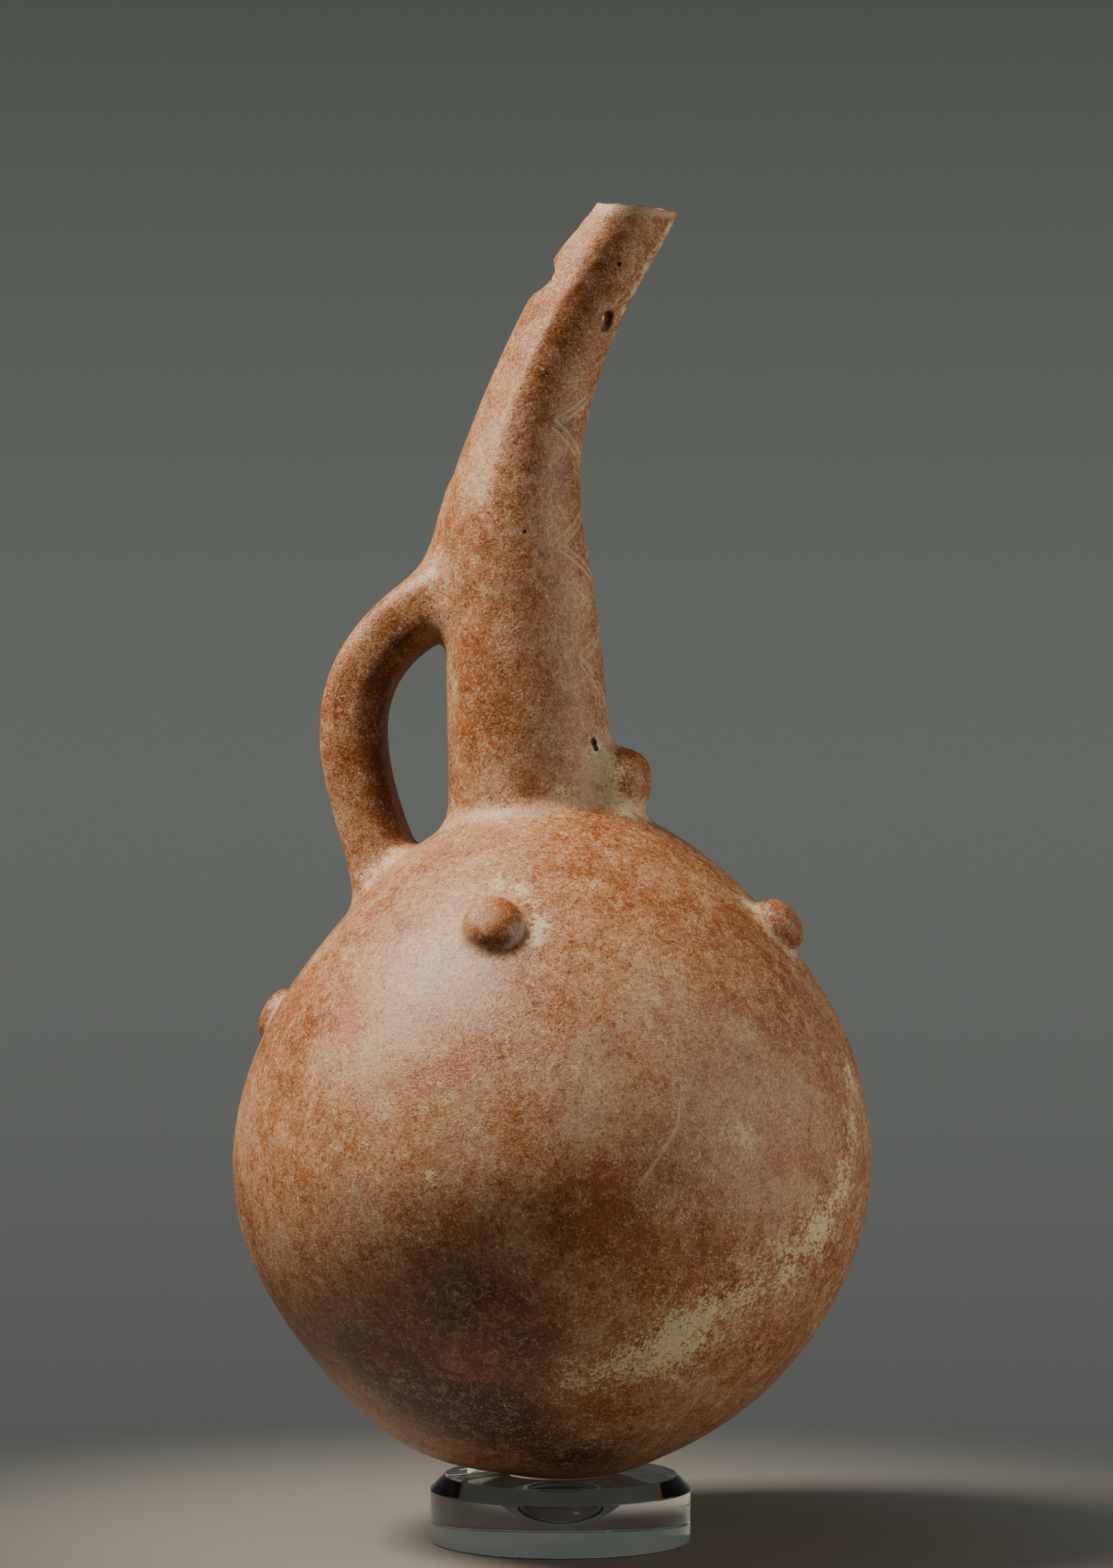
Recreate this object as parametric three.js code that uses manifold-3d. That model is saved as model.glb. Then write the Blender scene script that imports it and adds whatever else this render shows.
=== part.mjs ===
// Red polished ware jug, round-bottomed, with a tall leaning neck, a cut-away spout with a broken tip,
// one handle and four pressed-on knobs. It stands in the dimple of a thick clear acrylic disc.
// Millimetres, +Z up, floor at Z = 0 under the middle of the disc, spout towards +X, handle towards -X.
import * as THREE from 'three';
import { mergeVertices } from 'three/addons/utils/BufferGeometryUtils.js';
import Module from 'manifold-3d';

// Display disc
const discRadius = 50;
const discThickness = 25;
const discBevel = 5.5;
const dimpleRadius = 19.7;
const dimpleDepth = 17.5;
const seatGap = 0.3;

// Body of the jug
const bodyRadius = 122.5;
const bodyLowerHeight = 121.5;
const bodyUpperHeight = 141;
const bodyWall = 6;
const bodyFloor = 9;
const axisSetBack = 3.4;
const axisDriftHeight = 9;
const backShoulderDip = 3.2;
const backShoulderDipHeight = 92;
const backShoulderDipSpread = 32;

// Neck and spout
const neckFootHeight = 125.4;
const neckSetBack = 9.5;
const neckLength = 238;
const neckRadius = 31.1;
const spoutRadius = 17.4;
const neckWall = 4.5;
const spoutWall = 3.6;
const neckFootFlare = 10;
const neckFootFlareHeight = 18;
const mouthSlotWidth = 14;
const mouthSlotLength = 49;

// Handle
const handleThickness = 24.8;
const handleWidth = 29;
const handleReach = 27.8;
const handleTopHeight = 88.8;
const handleFootHeight = 109.5;
const handleRootFlare = 0.12;
const handleSmearHeight = 41;

// Knobs
const knobRadius = 11.3;
const knobHeight = 10;
const wornKnobHeight = 7.8;
const sideKnobHeight = 7.6;
const sideKnobRise = 92.5;
const frontKnobRise = 89.3;
const backKnobRise = 53.5;
const neckKnobRadius = 13.2;
const neckKnobHeight = 17;
const neckKnobRise = 20.5;

// Proportions of the free forms
const lowerFullness = 1.9;
const upperFullness = 1.75;
const knobSquareness = 0.72;
const handleBowSkew = 0.68;
const overrun = 14;

const wasm = await Module();
wasm.setup();

const clay = new THREE.MeshStandardMaterial({ color: 0xa8643c, roughness: 0.6, metalness: 0 });
const acrylic = new THREE.MeshStandardMaterial({
  color: 0xdde6e6, roughness: 0.05, metalness: 0, transparent: true, opacity: 0.35,
});

// One closed manifold solid from a three.js geometry
function solid(geometry) {
  const plain = geometry.clone();
  plain.deleteAttribute('normal');
  plain.deleteAttribute('uv');
  const merged = mergeVertices(plain, 1e-4);
  const index = merged.index.array;
  const triangles = [];
  for (let i = 0; i < index.length; i += 3) {
    const [a, b, c] = [index[i], index[i + 1], index[i + 2]];
    if (a !== b && b !== c && c !== a) triangles.push(a, b, c);
  }
  const vertProperties = Float32Array.from(merged.attributes.position.array);
  const triVerts = Uint32Array.from(triangles);
  return new wasm.Manifold(new wasm.Mesh({ numProp: 3, vertProperties, triVerts }));
}

function namedMesh(name, manifold, material) {
  const mesh = manifold.getMesh();
  const geometry = new THREE.BufferGeometry();
  geometry.setAttribute('position', new THREE.BufferAttribute(Float32Array.from(mesh.vertProperties), 3));
  geometry.setIndex(new THREE.BufferAttribute(Uint32Array.from(mesh.triVerts), 1));
  geometry.computeVertexNormals();
  const result = new THREE.Mesh(geometry, material);
  result.name = name;
  return result;
}

// Solid of revolution about a vertical axis, its profile given as [radius, height] from the bottom up
function turned(profile, segments) {
  const points = profile.map(([radius, height]) => new THREE.Vector2(radius, height));
  return new THREE.LatheGeometry(points, segments).rotateX(Math.PI / 2);
}

function moveVertices(geometry, move) {
  const position = geometry.attributes.position;
  const point = new THREE.Vector3();
  for (let i = 0; i < position.count; i += 1) {
    point.fromBufferAttribute(position, i);
    move(point);
    position.setXYZ(i, point.x, point.y, point.z);
  }
  return geometry;
}

// Display disc: flat foot, straight side, bevelled top edge and a round dimple
function makeDisc() {
  const dimpleSphere = (dimpleRadius ** 2 + dimpleDepth ** 2) / (2 * dimpleDepth);
  const rimAngle = Math.asin(Math.min(dimpleRadius / dimpleSphere, 1));
  const halfOpening = dimpleDepth > dimpleRadius ? Math.PI - rimAngle : rimAngle;
  const sphereCentre = discThickness - dimpleDepth + dimpleSphere;
  const dimpleRows = 7;
  const profile = [
    [0, 0],
    [discRadius, 0],
    [discRadius, discThickness - discBevel],
    [discRadius - discBevel, discThickness],
  ];
  for (let row = dimpleRows; row >= 0; row -= 1) {
    const angle = (halfOpening * row) / dimpleRows;
    profile.push([dimpleSphere * Math.sin(angle), sphereCentre - dimpleSphere * Math.cos(angle)]);
  }
  return solid(turned(profile, 56));
}

// How far the body's lower half has risen at a given distance from its axis
function lowerRise(radius) {
  const share = (radius / bodyRadius) ** lowerFullness;
  return bodyLowerHeight * (1 - (1 - share) ** (1 / lowerFullness));
}

const jugBottom = discThickness + seatGap - lowerRise(dimpleRadius);
const bellyZ = jugBottom + bodyLowerHeight;
const neckFootZ = bellyZ + neckFootHeight;

// The belly's axis lies a little behind the spot that the round bottom rests on
function axisX(z) {
  const seatTop = jugBottom + lowerRise(dimpleRadius);
  return -axisSetBack * THREE.MathUtils.smoothstep(z, seatTop, seatTop + axisDriftHeight);
}

// Radius of the outside of the body's upper half at a given height
function upperRadius(z) {
  const share = Math.min((z - bellyZ) / bodyUpperHeight, 1) ** upperFullness;
  return bodyRadius * (1 - share) ** (1 / upperFullness);
}

// How far the back of the shoulder is pressed in at a height and a compass angle from the spout
function shoulderDip(z, angle) {
  const rise = (z - bellyZ - backShoulderDipHeight) / backShoulderDipSpread;
  return backShoulderDip * Math.max(0, -Math.cos(angle)) ** 2 * Math.exp(-(rise ** 2));
}

// The body's rounded form, set in from its outside by a wall, and by a floor at the bottom
function makeBody(wall, floor, segments, rows) {
  const radius = bodyRadius - wall;
  const lower = bodyLowerHeight - floor;
  const upper = bodyUpperHeight - wall;
  const profile = [];
  for (let row = -rows; row <= rows; row += 1) {
    const angle = (Math.PI / 2) * Math.abs(row / rows);
    const power = 2 / (row < 0 ? lowerFullness : upperFullness);
    const height = Math.sin(angle) ** power;
    const width = row === -rows || row === rows ? 0 : Math.cos(angle) ** power;
    profile.push([radius * width, bellyZ + (row < 0 ? -lower : upper) * height]);
  }
  return moveVertices(turned(profile, segments), (point) => {
    const dip = shoulderDip(point.z, Math.atan2(point.y, point.x));
    const scale = 1 - dip / Math.max(Math.hypot(point.x, point.y), neckRadius);
    point.set(point.x * scale + axisX(point.z), point.y * scale, point.z);
  });
}

// Middle line of the neck: up share and forward share of its length, and how much of the
// difference between spout and neck radius is left there
const neckStations = [
  { up: 0, forward: 0, fullness: 1 },
  { up: 0.172, forward: 0, fullness: 1 },
  { up: 0.353, forward: -0.012, fullness: 0.88 },
  { up: 0.504, forward: -0.026, fullness: 0.7 },
  { up: 0.643, forward: -0.0025, fullness: 0.345 },
  { up: 0.824, forward: 0.0685, fullness: 0.09 },
  { up: 1, forward: 0.17, fullness: 0 },
];
const neckFootX = -axisSetBack - neckSetBack;
const neckLine = new THREE.CatmullRomCurve3(
  neckStations.map(({ up, forward }) => new THREE.Vector3(
    neckFootX + forward * neckLength, 0, neckFootZ + up * neckLength,
  )),
);
const fullnessLine = new THREE.CatmullRomCurve3(
  neckStations.map(({ up, fullness }) => new THREE.Vector3(up, fullness, 0)),
);
const spoutTip = neckLine.getPoint(1);
const spoutDirection = neckLine.getTangent(1);

// Place, direction and outer radius of the neck at a share of its length; it runs on straight past
// both ends
function neckAt(share) {
  const inside = THREE.MathUtils.clamp(share, 0, 1);
  const centre = neckLine.getPoint(inside);
  const direction = neckLine.getTangent(inside);
  centre.addScaledVector(direction, (share - inside) * neckLength);
  const fullness = THREE.MathUtils.clamp(fullnessLine.getPoint(inside).y, 0, 1);
  const radius = spoutRadius + (neckRadius - spoutRadius) * fullness;
  return { centre, direction, radius, fullness };
}

// A round bar bent along a line: section(share) gives centre, direction, half width and half depth
function bent(section, segments, rows) {
  const bar = new THREE.CylinderGeometry(1, 1, 1, segments, rows);
  const across = new THREE.Vector3(0, 1, 0);
  const sections = new Map();
  return moveVertices(bar, (point) => {
    const share = point.y + 0.5;
    const key = Math.round(share * rows);
    if (!sections.has(key)) sections.set(key, section(key / rows));
    const { centre, direction, width, depth } = sections.get(key);
    const out = new THREE.Vector3().crossVectors(across, direction).normalize();
    const [u, v] = [point.x, point.z];
    point.copy(centre).addScaledVector(out, u * depth).addScaledVector(across, -v * width);
  });
}

function makeNeck(isInside, segments, rows) {
  const start = -0.5 * neckFootFlareHeight / neckLength;
  const end = 1 + overrun / neckLength;
  return bent((share) => {
    const place = neckAt(start + (end - start) * share);
    const riseShare = THREE.MathUtils.clamp((place.centre.z - neckFootZ) / neckFootFlareHeight, 0, 1);
    const flare = neckFootFlare * (1 - riseShare) ** 2;
    const wall = spoutWall + (neckWall - spoutWall) * place.fullness;
    const radius = isInside ? place.radius - wall : place.radius + flare;
    return { centre: place.centre, direction: place.direction, width: radius, depth: radius };
  }, segments, rows);
}

// The channel of the neck reaches down into the body's hollow
function makeNeckFootChannel() {
  const radius = neckRadius - neckWall;
  const channelHeight = 3 * neckFootFlareHeight;
  const channel = new THREE.CylinderGeometry(radius, radius, channelHeight, 28).rotateX(Math.PI / 2);
  return channel.translate(neckFootX, 0, neckFootZ - neckFootFlareHeight / 3);
}

// Handle: bowed outwards from the neck's back down to the shoulder
function makeHandle() {
  const topZ = neckFootZ + handleTopHeight;
  const footZ = bellyZ + handleFootHeight;
  const neckThere = neckAt(handleTopHeight / neckLength);
  const top = new THREE.Vector3(neckThere.centre.x - neckThere.radius, 0, topZ);
  const footRadius = upperRadius(footZ) - shoulderDip(footZ, Math.PI);
  const foot = new THREE.Vector3(-axisSetBack - footRadius, 0, footZ);
  const start = top.clone().add(new THREE.Vector3(2 * neckWall, 0, 2 * neckWall));
  const line = new THREE.CatmullRomCurve3([start]);
  const bowPoints = 10;
  for (let i = 0; i <= bowPoints; i += 1) {
    const share = i / bowPoints;
    const bow = Math.sin(Math.PI * share ** handleBowSkew);
    line.points.push(top.clone().lerp(foot, share).add(new THREE.Vector3(-handleReach * bow, 0, 0)));
  }
  line.points.push(foot.clone().add(new THREE.Vector3(bodyWall, 0, -2 * bodyWall)));
  return bent((share) => {
    const flare = 1 + handleRootFlare * ((2 * share - 1) ** 6);
    return {
      centre: line.getPointAt(share),
      direction: line.getTangentAt(share),
      width: (handleWidth / 2) * flare,
      depth: (handleThickness / 2) * flare,
    };
  }, 14, 22);
}

// Clay smeared from the handle's upper end up the back of the neck
function makeHandleSmear() {
  const topZ = neckFootZ + handleTopHeight;
  const lowPlace = neckAt(handleTopHeight / neckLength);
  const highPlace = neckAt((handleTopHeight + handleSmearHeight) / neckLength);
  const lowDepth = 0.4 * handleThickness;
  const highDepth = neckWall / 2;
  const lowX = lowPlace.centre.x - lowPlace.radius - lowDepth / 2;
  const highX = highPlace.centre.x - highPlace.radius + highDepth;
  const low = new THREE.Vector3(lowX, 0, topZ);
  const high = new THREE.Vector3(highX, 0, topZ + handleSmearHeight);
  const direction = high.clone().sub(low).normalize();
  return bent((share) => {
    const depth = THREE.MathUtils.lerp(lowDepth, highDepth, share);
    const centre = low.clone().lerp(high, share);
    return { centre, direction, width: depth * (handleWidth / handleThickness), depth };
  }, 12, 3);
}

// A pressed-on pellet of clay: rounded end, root sunk into the wall below it
function makeKnob(radius, height, root, place, direction) {
  const rows = 5;
  const profile = [[0, -root], [radius, -root]];
  for (let row = 0; row <= rows; row += 1) {
    const angle = (Math.PI / 2) * (row / rows);
    const width = row === rows ? 0 : Math.cos(angle) ** knobSquareness;
    profile.push([radius * width, height * Math.sin(angle) ** knobSquareness]);
  }
  const knob = turned(profile, 18);
  const turn = new THREE.Quaternion().setFromUnitVectors(new THREE.Vector3(0, 0, 1), direction);
  return knob.applyQuaternion(turn).translate(place.x, place.y, place.z);
}

// A knob standing square on the shoulder, at a rise above the belly and a compass angle from the spout
function makeShoulderKnob(rise, angle, height) {
  const z = bellyZ + rise;
  const step = 1;
  const slope = (upperRadius(z - step) - upperRadius(z + step)) / (2 * step);
  const outward = new THREE.Vector3(Math.cos(angle), Math.sin(angle), slope).normalize();
  const radius = upperRadius(z) - shoulderDip(z, angle);
  const place = new THREE.Vector3(radius * Math.cos(angle) - axisSetBack, radius * Math.sin(angle), z);
  return makeKnob(knobRadius, height, bodyWall / 2, place, outward);
}

function makeNeckKnob() {
  const { centre, radius } = neckAt(neckKnobRise / neckLength);
  const place = new THREE.Vector3(centre.x + radius, 0, centre.z);
  return makeKnob(neckKnobRadius, neckKnobHeight, neckWall / 2 + 1, place, new THREE.Vector3(1, 0, 0));
}

// Moves a shape drawn in the plane of the spout to the tip. Its X runs along the spout past the tip and
// its Y runs out of the spout's back; depth is centred across the spout.
function atSpoutTip(geometry, depth) {
  const back = new THREE.Vector3().crossVectors(spoutDirection, new THREE.Vector3(0, 1, 0));
  const side = new THREE.Vector3().crossVectors(spoutDirection, back);
  const frame = new THREE.Matrix4().makeBasis(spoutDirection, back, side);
  frame.setPosition(spoutTip);
  return geometry.translate(0, 0, -depth / 2).applyMatrix4(frame);
}

// What is missing at the mouth: the potter's cut-away, the broken tip and the chipped notch below it,
// drawn in spout radii along and out of the back
function makeMouthCut() {
  const outline = [
    [-2.85, 1.2], [-2.55, 0.8], [-2.16, 0.59], [-1.93, 0.63], [-1.76, 0.9],
    [-0.21, 0.52], [0.58, -1.28], [2.2, -1.28], [2.2, 2.4], [-2.85, 2.4],
  ];
  const points = outline.map(([along, out]) => new THREE.Vector2(along * spoutRadius, out * spoutRadius));
  const shape = new THREE.Shape(points);
  const depth = 4 * spoutRadius;
  return atSpoutTip(new THREE.ExtrudeGeometry(shape, { depth, bevelEnabled: false }), depth);
}

// The open slot of the mouth down the back of the spout, with a round lower end
function makeMouthSlot() {
  const half = mouthSlotWidth / 2;
  const slot = new THREE.Shape();
  const lowerEnd = half - mouthSlotLength;
  slot.moveTo(spoutRadius, half);
  slot.lineTo(lowerEnd, half);
  slot.absarc(lowerEnd, 0, half, Math.PI / 2, (3 * Math.PI) / 2, false);
  slot.lineTo(spoutRadius, -half);
  const depth = 1.4 * spoutRadius;
  const geometry = new THREE.ExtrudeGeometry(slot, { depth, bevelEnabled: false, curveSegments: 6 });
  geometry.rotateX(-Math.PI / 2).translate(0, 0.35 * spoutRadius, 0);
  return atSpoutTip(geometry, 0);
}

function makeJug() {
  const jug = solid(makeBody(0, 0, 44, 12))
    .add(solid(makeNeck(false, 32, 22)))
    .add(solid(makeHandle()))
    .add(solid(makeHandleSmear()))
    .add(solid(makeShoulderKnob(sideKnobRise, -Math.PI / 2, sideKnobHeight)))
    .add(solid(makeShoulderKnob(sideKnobRise, Math.PI / 2, sideKnobHeight)))
    .add(solid(makeShoulderKnob(frontKnobRise, 0, knobHeight)))
    .add(solid(makeShoulderKnob(backKnobRise, Math.PI, wornKnobHeight)))
    .add(solid(makeNeckKnob()));
  return jug
    .subtract(solid(makeBody(bodyWall, bodyFloor, 36, 9)))
    .subtract(solid(makeNeckFootChannel()))
    .subtract(solid(makeNeck(true, 28, 18)))
    .subtract(solid(makeMouthCut()))
    .subtract(solid(makeMouthSlot()));
}

const jugOnDisc = new THREE.Group();
jugOnDisc.add(namedMesh('display_disc', makeDisc(), acrylic));
jugOnDisc.add(namedMesh('jug', makeJug(), clay));

export default jugOnDisc;
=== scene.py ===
import math

import bmesh
import bpy
import numpy as np
from mathutils import Matrix, Vector, noise


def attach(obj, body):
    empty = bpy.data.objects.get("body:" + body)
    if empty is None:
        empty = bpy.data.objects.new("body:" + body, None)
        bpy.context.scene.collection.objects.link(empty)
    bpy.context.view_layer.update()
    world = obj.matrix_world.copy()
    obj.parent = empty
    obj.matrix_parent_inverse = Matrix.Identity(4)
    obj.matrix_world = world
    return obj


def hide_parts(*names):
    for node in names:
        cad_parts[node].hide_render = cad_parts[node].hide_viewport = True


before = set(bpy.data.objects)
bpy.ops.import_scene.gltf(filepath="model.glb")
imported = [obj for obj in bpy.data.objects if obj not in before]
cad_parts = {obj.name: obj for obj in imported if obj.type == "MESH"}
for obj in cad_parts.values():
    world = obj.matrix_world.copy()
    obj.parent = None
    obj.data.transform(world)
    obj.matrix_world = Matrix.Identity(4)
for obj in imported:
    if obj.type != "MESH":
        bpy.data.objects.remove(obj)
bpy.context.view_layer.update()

MM = 0.001

# Points compared with a line in one go, which keeps the memory small
CHUNK = 4000

# Display disc, in millimetres
DISC_RADIUS = 50
DISC_THICKNESS = 25
DISC_BEVEL = 5.5
DIMPLE_RADIUS = 19.7
DIMPLE_DEPTH = 17.5
DISC_EDGE_ROUNDING = 0.35
SEAT_GAP = 0.3

# Body of the jug
BODY_RADIUS = 122.5
BODY_LOWER_HEIGHT = 121.5
BODY_UPPER_HEIGHT = 141
BODY_WALL = 6
BODY_FLOOR = 9
LOWER_FULLNESS = 1.9
UPPER_FULLNESS = 1.75
AXIS_SET_BACK = 3.4
AXIS_DRIFT_HEIGHT = 9
SHOULDER_DIP = 3.2
SHOULDER_DIP_HEIGHT = 92
SHOULDER_DIP_SPREAD = 32

# Neck and spout
NECK_FOOT_HEIGHT = 125.4
NECK_SET_BACK = 9.5
NECK_LENGTH = 238
NECK_RADIUS = 31.1
SPOUT_RADIUS = 17.4
NECK_WALL = 4.5
SPOUT_WALL = 3.6
MOUTH_SLOT_WIDTH = 14
MOUTH_SLOT_LENGTH = 49

# Shaved back of the neck: its angle from the front, the share of roundness taken off, and the shares of
# the neck's length between which it sets in
FLAT_FROM = math.radians(96)
FLATTENING = 0.4
FLAT_START = 0.42
FLAT_FULL = 0.62

# Handle
HANDLE_THICKNESS = 24.8
HANDLE_WIDTH = 29
HANDLE_REACH = 27.8
HANDLE_TOP_HEIGHT = 88.8
HANDLE_FOOT_HEIGHT = 109.5
HANDLE_ROOT_FLARE = 0.12
HANDLE_SMEAR_HEIGHT = 41
HANDLE_BOW_SKEW = 0.68
HANDLE_SQUARENESS = 3

# Knobs
KNOB_RADIUS = 11.3
KNOB_HEIGHT = 10
WORN_KNOB_HEIGHT = 7.8
SIDE_KNOB_HEIGHT = 7.6
SIDE_KNOB_RISE = 92.5
FRONT_KNOB_RISE = 89.3
BACK_KNOB_RISE = 53.5
NECK_KNOB_RADIUS = 13.2
NECK_KNOB_HEIGHT = 17
NECK_KNOB_RISE = 20.5
KNOB_SQUARENESS = 2.78

# Soft joins: about the radius of the clay worked into each corner
NECK_FILLET = 6.5
HANDLE_FILLET = 8
SMEAR_FILLET = 8
KNOB_FILLET = 4
NECK_KNOB_FILLET = 9

# Mesh spacing of the outside, the inside and the broken mouth; bends from which an edge stays crisp
OUTSIDE_SPACING = 2.25
INSIDE_SPACING = 6.0
BREAK_SPACING = 1.3
SHARP_EDGE = math.radians(48)
DISC_SHARP_EDGE = math.radians(10)

# Camera: its turn about the jug, distance, height, sideways shift and picture, in millimetres and pixels
VIEW_TURN = math.radians(15)
VIEW_DISTANCE = 1900
VIEW_HEIGHT = 289
VIEW_SHIFT = -1.6
PICTURE_WIDTH = 1624
PICTURE_HEIGHT = 2288
FOCAL_PIXELS = 7238
SENSOR = 36

# The picture's directions as columns (right, away from us, up), and the place of the eye
VIEW = np.array([
    [math.cos(VIEW_TURN), -math.sin(VIEW_TURN), 0],
    [math.sin(VIEW_TURN), math.cos(VIEW_TURN), 0],
    [0, 0, 1],
])
EYE = VIEW @ (VIEW_SHIFT, -VIEW_DISTANCE, VIEW_HEIGHT)

LOWER_SEAT_SHARE = 1 - (1 - (DIMPLE_RADIUS / BODY_RADIUS) ** LOWER_FULLNESS) ** (1 / LOWER_FULLNESS)
SEAT_Z = DISC_THICKNESS + SEAT_GAP
JUG_BOTTOM = SEAT_Z - BODY_LOWER_HEIGHT * LOWER_SEAT_SHARE
BELLY_Z = JUG_BOTTOM + BODY_LOWER_HEIGHT
NECK_FOOT_Z = BELLY_Z + NECK_FOOT_HEIGHT
NECK_FOOT_X = -AXIS_SET_BACK - NECK_SET_BACK

# Middle line of the neck: up and forward share of its length, and share left of the foot's extra radius
NECK_STATIONS = np.array([
    (0, 0, 1), (0.172, 0, 1), (0.353, -0.012, 0.88), (0.504, -0.026, 0.7),
    (0.643, -0.0025, 0.345), (0.824, 0.0685, 0.09), (1, 0.17, 0),
])

# Where the hand-built body swells or sinks: height, compass angle in degrees, depth and spread
BODY_SWELLS = [
    (192, 15, 1.5, 26),
    (36, 195, 2.2, 14),
    (78, 195, -1.5, 24),
    (100, -75, -0.8, 40),
]


def step(low, high, value):
    """Smooth rise from 0 at low to 1 at high."""
    share = np.clip((value - low) / (high - low), 0, 1)
    return share * share * (3 - 2 * share)


def lengths(vectors):
    return np.linalg.norm(vectors, axis=1)


def axis_x(z):
    return -AXIS_SET_BACK * step(SEAT_Z, SEAT_Z + AXIS_DRIFT_HEIGHT, z)


def upper_radius(z):
    share = min((z - BELLY_Z) / BODY_UPPER_HEIGHT, 1) ** UPPER_FULLNESS
    return BODY_RADIUS * (1 - share) ** (1 / UPPER_FULLNESS)


def shoulder_dip(z, angle):
    rise = (z - BELLY_Z - SHOULDER_DIP_HEIGHT) / SHOULDER_DIP_SPREAD
    return SHOULDER_DIP * np.maximum(0, -np.cos(angle)) ** 2 * np.exp(-rise ** 2)


def body_form(points, wall=0, floor=0):
    """Distance of points from the rounded body, set in by a wall and a floor."""
    x = points[:, 0] - axis_x(points[:, 2])
    y = points[:, 1]
    z = points[:, 2] - BELLY_Z
    angle = np.arctan2(y, x)
    across = np.hypot(x, y) + 1e-6
    fullness = np.where(z < 0, LOWER_FULLNESS, UPPER_FULLNESS)
    height = np.where(z < 0, BODY_LOWER_HEIGHT - floor, BODY_UPPER_HEIGHT - wall)
    size = (across / (BODY_RADIUS - wall)) ** fullness + (np.abs(z) / height) ** fullness
    size = size ** (1 / fullness)
    distance = np.hypot(across, z) * (1 - 1 / np.maximum(size, 1e-3))
    distance = distance + shoulder_dip(points[:, 2], angle)
    clear_of_seat = step(DIMPLE_RADIUS, 2.2 * DIMPLE_RADIUS, across)
    for swell_z, degrees, depth, spread in BODY_SWELLS:
        facing = clear_of_seat * np.maximum(0, np.cos(angle - math.radians(degrees))) ** 2
        distance = distance - depth * facing * np.exp(-((points[:, 2] - swell_z) / spread) ** 2)
    return distance


def catmull_rom(stations, share):
    """Points of a smooth line through the stations, at shares from 0 to 1."""
    ends = np.vstack([2 * stations[0] - stations[1], stations, 2 * stations[-1] - stations[-2]])
    place = np.clip(share, 0, 1) * (len(stations) - 1)
    first = np.minimum(place.astype(int), len(stations) - 2)
    t = (place - first)[:, None]
    a, b, c, d = (ends[first + i] for i in range(4))
    return 0.5 * (
        2 * b + (c - a) * t + (2 * a - 5 * b + 4 * c - d) * t ** 2 + (3 * b - a - 3 * c + d) * t ** 3
    )


def make_line(centres, **sizes):
    """A bent middle line with its directions and its sizes at each of its points."""
    along = np.gradient(centres, axis=0)
    along /= lengths(along)[:, None]
    back = np.cross(along, (0, 1, 0))
    return {"centre": centres, "along": along, "back": back, **sizes}


def make_neck_line():
    share = np.linspace(0, 1, 220)
    up, forward, fullness = catmull_rom(NECK_STATIONS, share).T
    centres = np.column_stack([
        NECK_FOOT_X + forward * NECK_LENGTH, np.zeros_like(up), NECK_FOOT_Z + up * NECK_LENGTH,
    ])
    fullness = np.clip(fullness, 0, 1)
    radius = SPOUT_RADIUS + (NECK_RADIUS - SPOUT_RADIUS) * fullness
    wall = SPOUT_WALL + (NECK_WALL - SPOUT_WALL) * fullness
    line = make_line(centres, radius=radius, wall=wall, share=share)
    return extend(line, below=24, above=26)


def extend(line, below, above):
    """The line runs on straight for some millimetres past both ends."""
    spacing = 1.0
    out = {}
    low = np.arange(-below, 0, spacing)[:, None]
    high = np.arange(spacing, above, spacing)[:, None]
    for name, values in line.items():
        first, last = values[:1], values[-1:]
        if name == "centre":
            before, after = first + low * line["along"][:1], last + high * line["along"][-1:]
        else:
            before = np.repeat(first, len(low), axis=0)
            after = np.repeat(last, len(high), axis=0)
        out[name] = np.concatenate([before, values, after])
    return out


def nearest(points, line, radius):
    """For each point, the index on the line whose ball is nearest, and its offset from there."""
    index = np.empty(len(points), int)
    for start in range(0, len(points), CHUNK):
        part = points[start:start + CHUNK]
        gap = np.linalg.norm(part[:, None] - line["centre"][None], axis=2) - radius[None]
        index[start:start + CHUNK] = gap.argmin(axis=1)
    return index, points - line["centre"][index]


NECK_LINE = make_neck_line()


def neck_form(points, inside=False):
    """Distance from the neck; its shaved back meets its round front in a ridge on each side."""
    radius = NECK_LINE["radius"] - (NECK_LINE["wall"] if inside else 0)
    index, offset = nearest(points, NECK_LINE, radius)
    if inside:
        return lengths(offset) - radius[index]
    back = (offset * NECK_LINE["back"][index]).sum(axis=1)
    angle = np.arctan2(np.abs(offset[:, 1]), -back)
    half = (math.pi - FLAT_FROM) / 2
    chord = math.cos(half) / np.cos(np.clip(angle - FLAT_FROM - half, -half, half))
    shaved = FLATTENING * step(FLAT_START, FLAT_FULL, NECK_LINE["share"][index]) * (angle > FLAT_FROM)
    return lengths(offset) - radius[index] * (1 - shaved * (1 - chord))


def neck_at(z):
    """Middle of the neck at a height, and its radius there."""
    there = np.abs(NECK_LINE["centre"][:, 2] - z).argmin()
    return NECK_LINE["centre"][there], NECK_LINE["radius"][there]


def make_handle_line():
    top_z = NECK_FOOT_Z + HANDLE_TOP_HEIGHT
    foot_z = BELLY_Z + HANDLE_FOOT_HEIGHT
    middle, radius = neck_at(top_z)
    top = np.array([middle[0] - radius, 0, top_z])
    foot_radius = upper_radius(foot_z) - shoulder_dip(foot_z, math.pi)
    foot = np.array([-AXIS_SET_BACK - foot_radius, 0, foot_z])
    share = np.linspace(0, 1, 130)[:, None]
    bow = HANDLE_REACH * np.sin(math.pi * share ** HANDLE_BOW_SKEW)
    centres = top + (foot - top) * share - bow * np.array([1, 0, 0])
    flare = 1 + HANDLE_ROOT_FLARE * (2 * share[:, 0] - 1) ** 6
    return extend(make_line(centres, flare=flare), below=9, above=12)


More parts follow.
